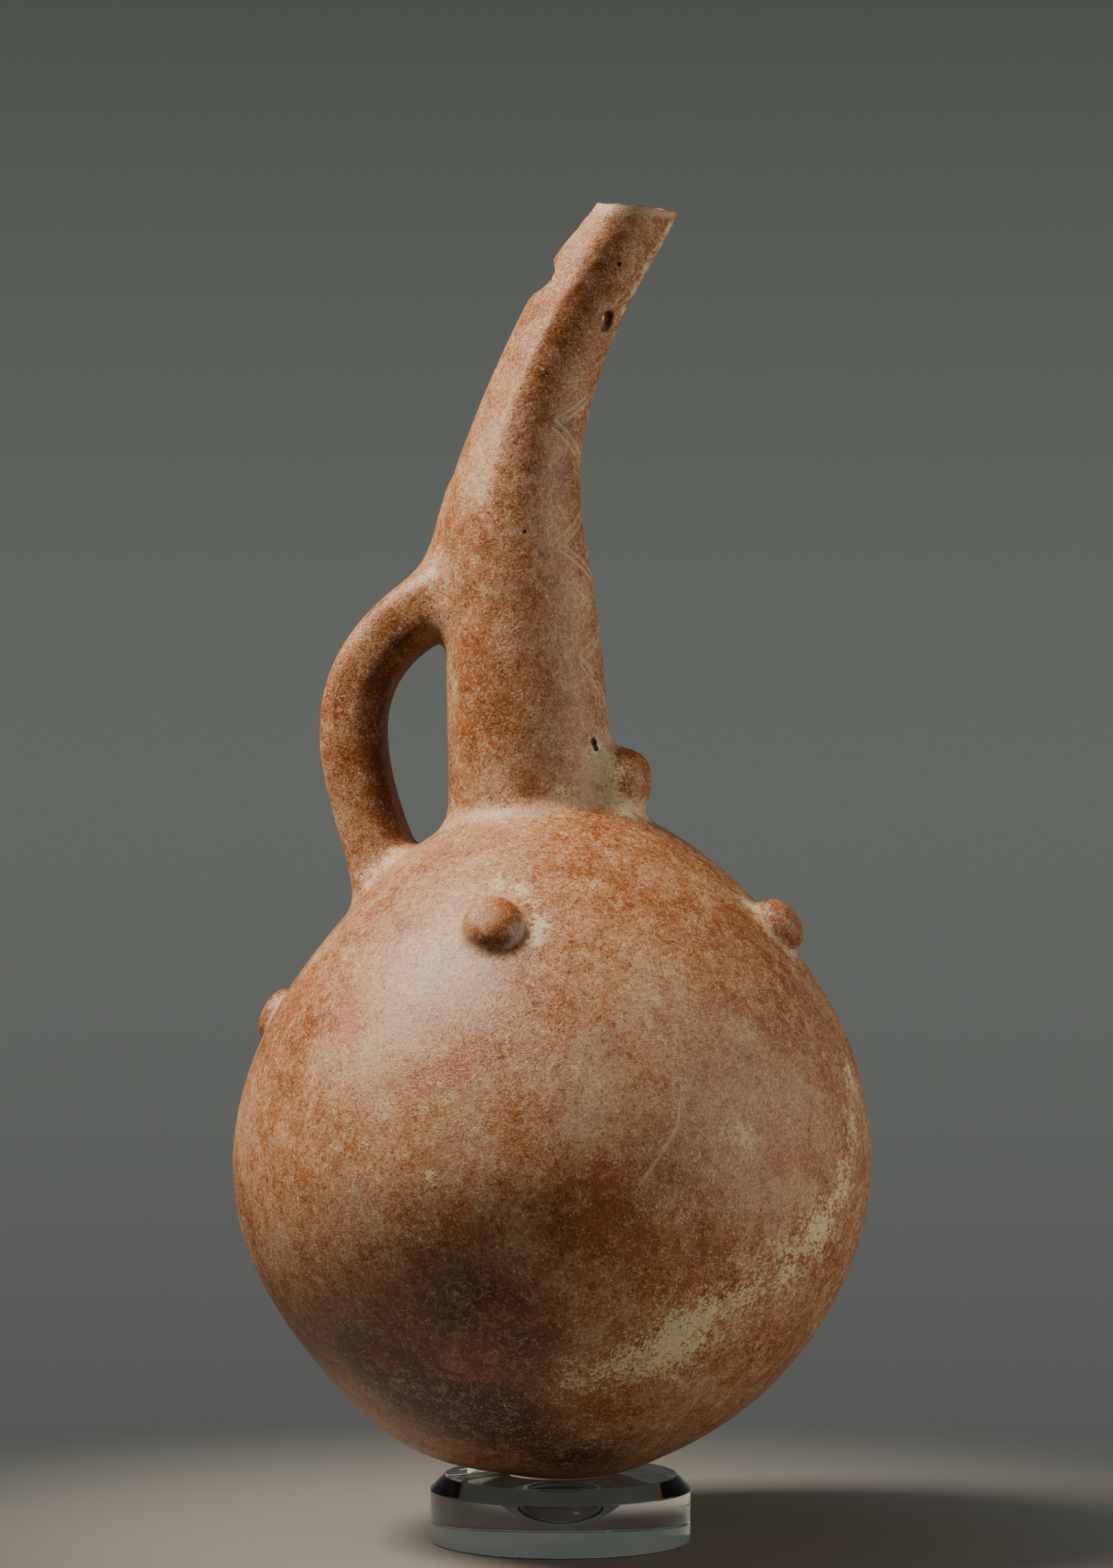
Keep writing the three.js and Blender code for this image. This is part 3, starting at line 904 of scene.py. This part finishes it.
def painted(points, patches):
    """How strongly the patches cover each point."""
    cover = np.zeros(len(points))
    places = seen_at([patch[:2] for patch in patches])
    for place, (_, _, radius, strength) in zip(places, patches):
        cover += strength * np.exp(-((points - place) ** 2).sum(axis=1) / radius ** 2)
    return np.minimum(cover, MOST_PAINT)


def paint(mesh, name, values):
    mesh.attributes.new(name, "FLOAT", "POINT").data.foreach_set("value", np.asarray(values, float))


def crisp_points(mesh):
    """Middles of the mesh's crisp edges, where the clay is cut or broken."""
    bm = bmesh.new()
    bm.from_mesh(mesh)
    middles = [
        sum((vert.co for vert in edge.verts), Vector()) / 2
        for edge in bm.edges if edge.calc_face_angle(0) > SHARP_EDGE
    ]
    bm.free()
    return np.array(middles)


# Depth in millimetres under the smooth outside between which the burnished slip gives way to bare clay
BARE_FROM = 1.6
BARE_FULL = 2.6


def paint_jug(mesh):
    """Stores where each film, stain, painted shade, painted highlight and bare break of the clay lies."""
    points = points_of(mesh)
    distance, corner = jug_form(points)
    # Pits are as deep as bare clay, but have a mask of their own
    bare = step(BARE_FROM, BARE_FULL, -distance - 3 * band(points, PIT_PLACES, 6, 2.5))
    outer = 1 - bare
    paint(mesh, "bare", bare)
    chips = band(points, CHIPPED_PATH, 5, 1.5, power=4)
    edges = crisp_points(mesh)
    tip = np.array(tip_frame().translation)
    edges = edges[lengths(edges - tip) < 4 * SPOUT_RADIUS]
    paint(mesh, "broken", np.maximum(chips, bare * band(points, edges, 6, 1.6, power=4)))
    paint(mesh, "corner", outer * corner)
    lines = band(points, ZIGZAG_PATH, 4, 1.3 * LINE_HALF_WIDTH)
    lines += 0.8 * band(points, SCRATCH_PATH, 4, 1.3 * LINE_HALF_WIDTH)
    paint(mesh, "lines", outer * lines)
    # Pale line along the ridge: wear and painted highlight
    paint(mesh, "ridge", outer * band(points, RIDGE_PATH, 4, 0.9))
    # Painted shade: the insides of the pits are coloured almost black for the shade that lies in them
    painted_pit_shade = np.zeros(len(points))
    for place, (_, _, radius, depth) in zip(PIT_PLACES, PITS):
        gap = lengths(points - place) / (0.3 + max(0.8 * radius, depth))
        painted_pit_shade = np.maximum(painted_pit_shade, np.exp(-gap ** 8))
    paint(mesh, "pits", painted_pit_shade)
    for name, patches in PATCHES.items():
        paint(mesh, name, outer * painted(points, patches))


# Where the mesh is made finer, and how near in millimetres at each round
FINER = [(ZIGZAG_PATH, (2.4, 1.5)), (SCRATCH_PATH, (2.0, 1.3)), (PIT_PLACES, (4.5, 3.2, 2.4))]


def make_jug():
    outside = rough_outside()
    for path, reaches in FINER:
        make_finer(outside, path, reaches)
    points = settle(points_of(outside), outside_distance, rounds=1)
    slope = slope_of(outside_distance, points)
    slope /= lengths(slope)[:, None]
    corner = jug_form(points)[1]
    set_points(outside, points + slope * relief(points, corner)[:, None])
    inside = add_object("inside", rough_inside())
    mesh = carve(outside, [inside, mouth_cutter(), slot_cutter()])
    mesh.name = "jug_clay"
    mesh.materials.clear()
    paint_jug(mesh)
    mesh.transform(Matrix.Scale(MM, 4))
    piece = add_object("jug_clay", mesh)
    shade(mesh, SHARP_EDGE)
    return piece


def shade(mesh, sharp):
    """Smooth shading that stays crisp at edges that bend by more than an angle."""
    bm = bmesh.new()
    bm.from_mesh(mesh)
    for face in bm.faces:
        face.smooth = True
    for edge in bm.edges:
        edge.smooth = edge.calc_face_angle(0) < sharp
    bm.to_mesh(mesh)
    bm.free()


def make_disc():
    """Turned block of clear acrylic: flat foot, bevelled top edge and a polished round dimple."""
    ball = (DIMPLE_RADIUS ** 2 + DIMPLE_DEPTH ** 2) / (2 * DIMPLE_DEPTH)
    rim = math.asin(DIMPLE_RADIUS / ball)
    profile = [
        (0, 0), (DISC_RADIUS, 0), (DISC_RADIUS, DISC_THICKNESS - DISC_BEVEL),
        (DISC_RADIUS - DISC_BEVEL, DISC_THICKNESS),
    ]
    rows = 24
    for row in range(rows, -1, -1):
        angle = rim * row / rows
        height = DISC_THICKNESS - DIMPLE_DEPTH + ball * (1 - math.cos(angle))
        profile.append((ball * math.sin(angle), height))
    bm = bmesh.new()
    add_turned(bm, profile, steps=160)
    bmesh.ops.recalc_face_normals(bm, faces=bm.faces)
    sharp = [edge for edge in bm.edges if edge.calc_face_angle(0) > math.radians(25)]
    bmesh.ops.bevel(
        bm, geom=sharp, offset=DISC_EDGE_ROUNDING, offset_type="OFFSET", segments=2, profile=0.5,
        material=-1, affect="EDGES",
    )
    bmesh.ops.transform(bm, matrix=Matrix.Scale(MM, 4), verts=bm.verts)
    piece = object_from(bm, "acrylic_disc")
    shade(piece.data, DISC_SHARP_EDGE)
    return piece


def linear(colour):
    """Linear red, green, blue and alpha from an sRGB hex colour."""
    values = [int(colour[i:i + 2], 16) / 255 for i in (1, 3, 5)]
    return tuple(v / 12.92 if v <= 0.04045 else ((v + 0.055) / 1.055) ** 2.4 for v in values) + (1,)


def node(tree, kind, settings=None, links=None):
    """Adds a node; settings are its properties and input values, links are outputs by input."""
    made = tree.nodes.new("ShaderNode" + kind)
    for name, value in (settings or {}).items():
        if isinstance(name, int) or name in made.inputs:
            made.inputs[name].default_value = value
        else:
            setattr(made, name, value)
    for name, source in (links or {}).items():
        tree.links.new(source, made.inputs[name])
    return made


def blank_tree(owner):
    """The emptied node tree of a material or world."""
    owner.use_nodes = True
    owner.node_tree.nodes.clear()
    return owner.node_tree


def new_material(name):
    material = bpy.data.materials.new(name)
    return material, blank_tree(material)


def per(size):
    """Texture scale for features of a size in millimetres."""
    return 1 / (size * MM)


def total(tree, *parts):
    """Sum of outputs, each times its own weight."""
    running = None
    for source, weight in parts:
        settings = {"operation": "MULTIPLY_ADD", 1: weight, 2: 0.0}
        links = {0: source} if running is None else {0: source, 2: running}
        running = node(tree, "Math", settings, links).outputs[0]
    return running


def rising(tree, value, low, high):
    """Smooth rise of a value from 0 at low to 1 at high."""
    return node(tree, "MapRange", {
        "interpolation_type": "SMOOTHSTEP", "From Min": low, "From Max": high,
    }, {"Value": value}).outputs[0]


def product(tree, first, second):
    return node(tree, "Math", {"operation": "MULTIPLY"}, {0: first, 1: second}).outputs[0]


def coated(tree, below, cover, colour):
    """The colour below with another laid over it as far as it covers."""
    mix = node(tree, "Mix", {"data_type": "RGBA", 7: linear(colour)}, {0: cover, 6: below})
    return mix.outputs[2]


def colour_ramp(tree, value, stops, interpolation="LINEAR"):
    """Colour of a value between stops of place and sRGB colour."""
    ramp = node(tree, "ValToRGB", links={"Fac": value})
    ramp.color_ramp.interpolation = interpolation
    elements = ramp.color_ramp.elements
    while len(elements) < len(stops):
        elements.new(0.5)
    for element, (place, colour) in zip(elements, stops):
        element.position, element.color = place, linear(colour)
    return ramp.outputs["Color"]


# Clay colours from the bare polished slip to the palest film over it; the tone about which they wander
CLAY_TONES = [
    (0.20, "#6b370e"), (0.37, "#935527"), (0.49, "#a66e43"), (0.61, "#b4875f"), (0.77, "#c3a684"),
]
MIDDLE_TONE = 0.495

# Mottling of the clay, and the specks of its painted glints: size in millimetres, detail, roughness and
# distortion
CLAY_NOISES = {
    "cloud": (42, 3, 0.5, 0.3), "blotch": (14, 4, 0.55, 0.6), "stain": (9, 3, 0.6, 1.0),
    "clump": (3.6, 4, 0.62, 1.2), "speckle": (1.6, 4, 0.75, 1.6), "grain": (0.9, 2, 0.6, 0),
    "mauve": (11, 4, 0.6, 0.8), "specks": (1.3, 3, 0.7, 0.4), "glints": (1.1, 2, 0.6, 0.2),
}
TONE_SHARES = {"cloud": 0.34, "blotch": 0.5, "clump": 0.62, "speckle": 1.2}


def root_marks(tree, place, patches):
    """Thin wandering threads left by roots: the edges of warped cells, each kept only in places."""
    marks = []
    for size, width, kept_from in ((5.2, 0.075, 0.44), (3.3, 0.09, 0.48)):
        warp = node(tree, "TexNoise", {"Scale": per(2.6), "Detail": 3}, {"Vector": place})
        bent = node(tree, "VectorMath", {
            "operation": "MULTIPLY_ADD", 1: (2.2 * size * MM,) * 3,
        }, {0: warp.outputs["Color"], 2: place})
        cells = node(tree, "TexVoronoi", {
            "feature": "DISTANCE_TO_EDGE", "Scale": per(size),
        }, {"Vector": bent.outputs[0]})
        thread = rising(tree, cells.outputs["Distance"], width, 0)
        kept = rising(tree, patches, kept_from, kept_from + 0.1)
        marks.append(product(tree, thread, kept))
    return total(tree, (marks[0], 0.45), (marks[1], 0.3))


def burnished_clay():
    """Low-fired red clay under a burnished slip, long buried. Burnishing leaves a broad soft sheen, the
    slip wanders from orange-brown to pinkish tan, and a thin film, root threads and lime lie over it."""
    material, tree = new_material("burnished_red_slip_on_low_fired_clay")
    place = node(tree, "TexCoord").outputs["Object"]
    source = {
        name: node(tree, "Attribute", {"attribute_name": name}).outputs["Fac"]
        for name in ("bare", "broken", "corner", "lines", "ridge", "pits", *PATCHES)
    }
    for name, (size, detail, rough, bend) in CLAY_NOISES.items():
        source[name] = node(tree, "TexNoise", {
            "Scale": per(size), "Detail": detail, "Roughness": rough, "Distortion": bend,
        }, {"Vector": place}).outputs["Fac"]

    def mixed(**weights):
        return total(tree, *((source[name], weight) for name, weight in weights.items()))

    # The pale film mask, partly painted highlight, lifts the tone; the dark mask, mostly painted shade,
    # lowers it
    tone = mixed(**TONE_SHARES, haze=0.16, ochre=-0.16, dark=-0.07)
    evened = MIDDLE_TONE - sum(TONE_SHARES.values()) / 2
    tone = node(tree, "Math", {"operation": "ADD", 1: evened}, {0: tone}).outputs[0]
    colour = colour_ramp(tree, tone, CLAY_TONES)

    # Dark pinholes and pale grains: one round dot in each cell, drawn a little larger than life
    for name, size, radius in (("pinhole", 3.2, 0.11), ("pale_grain", 3.9, 0.1)):
        cells = node(tree, "TexVoronoi", {"Scale": per(size)}, {"Vector": place})
        source[name] = rising(tree, cells.outputs["Distance"], radius, 0.3 * radius)
    source["uneven_cover"] = mixed(clump=0.55, speckle=0.45)
    source["flecks"] = mixed(clump=0.55, glints=0.65, blotch=0.3)
    red = rising(tree, mixed(red=0.5, stain=1), 0.5, 1.15)
    # The dark coat is mostly painted shade: the lower left of the belly, under the front knob and on the
    # handle's inner face
    dark = rising(tree, mixed(dark=0.6, clump=0.3, stain=0.3), 0.3, 1.05)
    mauve = rising(tree, mixed(haze=0.25, ochre=-0.2, mauve=1, speckle=0.5), 0.75, 1.15)
    specks = rising(tree, source["specks"], 0.54, 0.66)
    # Painted glints: pale specks that stand for the small highlights of the burnished grain
    glints = rising(tree, source["glints"], 0.6, 0.7)
    corner = rising(tree, mixed(corner=0.34, ochre=-0.25, uneven_cover=1), 0.5, 0.95)
    lime = rising(tree, mixed(lime=0.25, flecks=1), 0.83, 1.05)
    threads = root_marks(tree, place, source["stain"])
    glowing = rising(tree, mixed(ochre=0.5, clump=0.6, stain=0.4), 0.7, 1.4)
    glowing = total(tree, (glowing, 0.85))
    lines = product(tree, source["lines"], rising(tree, source["clump"], 0.25, 0.5))
    # Among the coats, the dark one is mostly painted shade, the glints are painted highlight, the ridge's
    # pale line is wear and painted highlight, and the near black in the pits is painted shade
    for cover, strength, coat in (
        (mauve, 0.5, "#a88c7c"), (dark, 1, "#4c2406"), (glowing, 1, "#9c5a1e"), (red, 1, "#a34f2b"),
        (specks, 0.62, "#56331a"), (source["pinhole"], 0.5, "#4a2a15"), (glints, 0.65, "#cfae90"),
        (threads, 1, "#d0b08f"), (corner, 1, "#c9aa8d"), (lime, 1, "#d8c8a0"), (lines, 1, "#d3bf9b"),
        (source["ridge"], 0.5, "#c49a74"), (source["pale_grain"], 0.5, "#dfcaab"),
        (source["bare"], 1, "#94694a"), (source["broken"], 1, "#cbb08e"), (source["pits"], 1, "#1c110a"),
    ):
        colour = coated(tree, colour, total(tree, (cover, strength)), coat)

    rough = node(tree, "Math", {"operation": "ADD", 1: 0.23, "use_clamp": True}, {
        0: total(
            tree, (tone, 0.3), (lime, 0.3), (glowing, 0.2), (source["bare"], 0.35),
            (source["broken"], 0.3), (source["pits"], 0.5),
        ),
    })
    bump = node(tree, "Bump", {"Strength": 0.8, "Distance": 0.36 * MM}, {
        "Height": mixed(speckle=0.7, clump=0.6, grain=0.5),
    })
    shader = node(tree, "BsdfPrincipled", {"IOR": 1.5}, {
        "Base Color": colour, "Roughness": rough.outputs[0], "Normal": bump.outputs[0],
    })
    node(tree, "OutputMaterial", links={"Surface": shader.outputs[0]})
    return material


def clear_acrylic():
    """Cast acrylic, turned and flame polished. Polish leaves it clear as glass, with bright bevels and
    hardly any tint; the eye sees the floor bent through it and the dimple as a dark lens."""
    material, tree = new_material("polished_clear_acrylic")
    shader = node(tree, "BsdfPrincipled", {
        "Base Color": linear("#fbfdfc"), "Roughness": 0.02, "IOR": 1.49, "Transmission Weight": 1,
    })
    node(tree, "OutputMaterial", links={"Surface": shader.outputs[0]})
    return material


# The floor's radius, where it starts to thin out and how far it lies under the disc, in metres
FLOOR_RADIUS = 0.4
FLOOR_FADE_FROM = 0.08
FLOOR_GAP = 0.0004


def pale_floor():
    """Matt pale paint that thins out to nothing away from the jug, so no far edge shows."""
    material, tree = new_material("matt_pale_floor")
    place = node(tree, "TexCoord").outputs["Object"]
    away = node(tree, "VectorMath", {"operation": "LENGTH"}, {0: place})
    fade = rising(tree, away.outputs["Value"], FLOOR_FADE_FROM, FLOOR_RADIUS * 0.96)
    shader = node(tree, "BsdfPrincipled", {"Base Color": linear("#7e7c78"), "Roughness": 0.75})
    clear = node(tree, "BsdfTransparent")
    both = node(tree, "MixShader", links={0: fade, 1: shader.outputs[0], 2: clear.outputs[0]})
    node(tree, "OutputMaterial", links={"Surface": both.outputs[0]})
    return material


def make_floor():
    bm = bmesh.new()
    bmesh.ops.create_circle(bm, cap_ends=True, segments=96, radius=FLOOR_RADIUS)
    bmesh.ops.translate(bm, vec=(0, 0, -FLOOR_GAP), verts=bm.verts)
    floor = object_from(bm, "floor")
    floor.data.materials.append(pale_floor())


# Height in metres that the lamps look at
LIGHT_AIM = 0.25


def add_light(name, direction, distance, size, power, colour):
    """A soft square lamp that looks at the jug from a direction of the picture: right, up, towards us."""
    right, up, toward = direction
    target = Vector((0, 0, LIGHT_AIM))
    place = target + distance * Vector(VIEW @ (right, -toward, up)).normalized()
    lamp = bpy.data.lights.new(name, "AREA")
    lamp.size, lamp.energy, lamp.color = size, power, linear(colour)[:3]
    holder = add_object(name, lamp)
    holder.location = place
    holder.rotation_euler = (target - place).to_track_quat("-Z", "Y").to_euler()


# Grey of the studio by the height of the direction looked in, from -1 straight down to 1 straight up
STUDIO_GREYS = [(-1, "#141413"), (-0.2, "#424442"), (0.0, "#717570"), (0.2, "#3f433e"), (1, "#222321")]


def make_studio():
    world = bpy.data.worlds.new("studio")
    bpy.context.scene.world = world
    tree = blank_tree(world)
    direction = node(tree, "TexCoord").outputs["Generated"]
    parts = node(tree, "SeparateXYZ", links={0: direction})
    height = node(tree, "Math", {"operation": "MULTIPLY_ADD", 1: 0.5, 2: 0.5}, {
        0: parts.outputs["Z"],
    })
    stops = [(0.5 + rise / 2, colour) for rise, colour in STUDIO_GREYS]
    grey = colour_ramp(tree, height.outputs[0], stops, "B_SPLINE")
    sky = node(tree, "Background", {"Strength": 1.0}, {"Color": grey})
    node(tree, "OutputWorld", links={"Surface": sky.outputs[0]})
    add_light("key", (-0.6, 0.79, 0.09), distance=1.6, size=0.5, power=55, colour="#fff1de")
    add_light("side", (0.95, 0.13, 0.28), distance=1.8, size=1.3, power=19, colour="#fff3e2")


def make_camera():
    camera = bpy.data.cameras.new("camera")
    camera.sensor_width = SENSOR
    camera.lens = FOCAL_PIXELS / PICTURE_HEIGHT * SENSOR
    holder = add_object("camera", camera)
    holder.location = MM * EYE
    holder.rotation_euler = (math.radians(90), 0, VIEW_TURN)
    bpy.context.scene.camera = holder


def main():
    make_camera()
    make_studio()
    make_floor()
    jug = make_jug()
    jug.data.materials.append(burnished_clay())
    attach(jug, "root")
    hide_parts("jug")
    disc = make_disc()
    disc.data.materials.append(clear_acrylic())
    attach(disc, "root")
    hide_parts("display_disc")


main()
